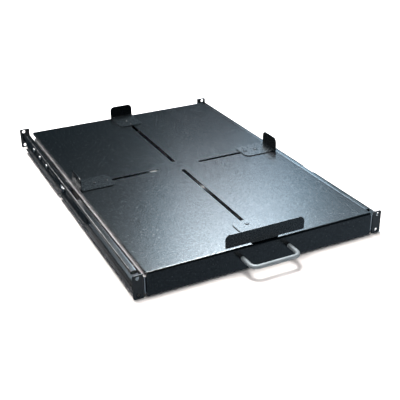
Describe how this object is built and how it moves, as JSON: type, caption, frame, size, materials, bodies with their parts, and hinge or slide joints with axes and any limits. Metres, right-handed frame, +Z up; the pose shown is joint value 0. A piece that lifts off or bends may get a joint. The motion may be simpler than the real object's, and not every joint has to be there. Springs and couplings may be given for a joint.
{
  "type": "sliding rack shelf",
  "caption": "Pull-out equipment shelf for a 19-inch rack: slotted tray on telescopic ball slides between depth-adjustable side rails, with a front handle and adjustable stops.",
  "frame": {"origin": "centre of the four front rack holes, on the front face of the front ears", "axes": "+X to the right seen from the front, +Y to the rear of the rack, +Z up"},
  "size_m": [0.4826, 0.7576, 0.072],
  "materials": {
    "tray_black": "fine-textured semi-gloss black powder coat",
    "stop_black": "fine-textured satin black powder coat",
    "ear_black": "fine-textured satin black powder coat",
    "bracket_black": "fine-textured satin black powder coat",
    "channel_black": "smooth glossy black coat",
    "slide_zinc": "bright zinc plating with roll marks",
    "screw_zinc": "bright zinc plating",
    "stop_screw_black": "black oxide",
    "ball_chrome": "polished",
    "cage_black": "moulded",
    "handle_satin": "satin",
    "bumper_rubber": "matt"
  },
  "bodies": {
    "rails": {"left_front_ear": "ear_black", "left_front_bracket": "bracket_black", "left_rail_channel": "channel_black", "left_slide_posts": "screw_zinc", "left_clamp_screws": "screw_zinc", "left_clamp_washer": "screw_zinc", "left_outer_slide": "slide_zinc", "left_slide_bumper": "bumper_rubber", "right_front_ear": "ear_black", "right_front_bracket": "bracket_black", "right_rail_channel": "channel_black", "right_slide_posts": "screw_zinc", "right_clamp_screws": "screw_zinc", "right_clamp_washer": "screw_zinc", "right_outer_slide": "slide_zinc", "right_slide_bumper": "bumper_rubber"},
    "left_rear_rail": {"left_rear_ear": "ear_black", "left_rear_bracket": "bracket_black"},
    "right_rear_rail": {"right_rear_ear": "ear_black", "right_rear_bracket": "bracket_black"},
    "middle_slides": {"left_middle_slide": "slide_zinc", "right_middle_slide": "slide_zinc"},
    "outer_ball_rows": {"left_outer_ball_cage": "cage_black", "left_outer_balls": "ball_chrome", "right_outer_ball_cage": "cage_black", "right_outer_balls": "ball_chrome"},
    "inner_ball_rows": {"left_inner_ball_cage": "cage_black", "left_inner_balls": "ball_chrome", "right_inner_ball_cage": "cage_black", "right_inner_balls": "ball_chrome"},
    "tray": {"tray_pan": "tray_black", "left_tray_hanger": "bracket_black", "left_inner_slide": "slide_zinc", "left_slide_screws": "screw_zinc", "right_tray_hanger": "bracket_black", "right_inner_slide": "slide_zinc", "right_slide_screws": "screw_zinc", "handle": "handle_satin", "handle_screws": "screw_zinc"},
    "front_stop_set": {"front_stop": "stop_black", "front_stop_screws": "stop_screw_black", "front_stop_nuts": "screw_zinc"},
    "rear_stop_set": {"rear_stop": "stop_black", "rear_stop_screws": "stop_screw_black", "rear_stop_nuts": "screw_zinc"},
    "left_stop_set": {"left_stop": "stop_black", "left_stop_screws": "stop_screw_black", "left_stop_nuts": "screw_zinc"},
    "right_stop_set": {"right_stop": "stop_black", "right_stop_screws": "stop_screw_black", "right_stop_nuts": "screw_zinc"}
  },
  "joints": [
    {"name": "tray_slide", "type": "slide", "parent": "rails", "child": "tray", "axis": [0, -1, 0], "range_m": [0, 0.6]},
    {"name": "middle_slide", "type": "slide", "parent": "rails", "child": "middle_slides", "axis": [0, -1, 0], "range_m": [0, 0.3]},
    {"name": "outer_balls_roll", "type": "slide", "parent": "rails", "child": "outer_ball_rows", "axis": [0, -1, 0], "range_m": [0, 0.15]},
    {"name": "inner_balls_roll", "type": "slide", "parent": "rails", "child": "inner_ball_rows", "axis": [0, -1, 0], "range_m": [0, 0.45]},
    {"name": "left_rear_adjust", "type": "slide", "parent": "rails", "child": "left_rear_rail", "axis": [0, 1, 0], "range_m": [0, 0.055]},
    {"name": "right_rear_adjust", "type": "slide", "parent": "rails", "child": "right_rear_rail", "axis": [0, 1, 0], "range_m": [0, 0.055]},
    {"name": "front_stop_adjust", "type": "slide", "parent": "tray", "child": "front_stop_set", "axis": [0, 1, 0], "range_m": [0, 0.258]},
    {"name": "rear_stop_adjust", "type": "slide", "parent": "tray", "child": "rear_stop_set", "axis": [0, -1, 0], "range_m": [0, 0.24]},
    {"name": "left_stop_adjust", "type": "slide", "parent": "tray", "child": "left_stop_set", "axis": [1, 0, 0], "range_m": [0, 0.104]},
    {"name": "right_stop_adjust", "type": "slide", "parent": "tray", "child": "right_stop_set", "axis": [-1, 0, 0], "range_m": [0, 0.104]}
  ],
  "couplings": [
    {"joint": "middle_slide", "follows": "tray_slide", "ratio": 0.5},
    {"joint": "outer_balls_roll", "follows": "tray_slide", "ratio": 0.25},
    {"joint": "inner_balls_roll", "follows": "tray_slide", "ratio": 0.75}
  ]
}
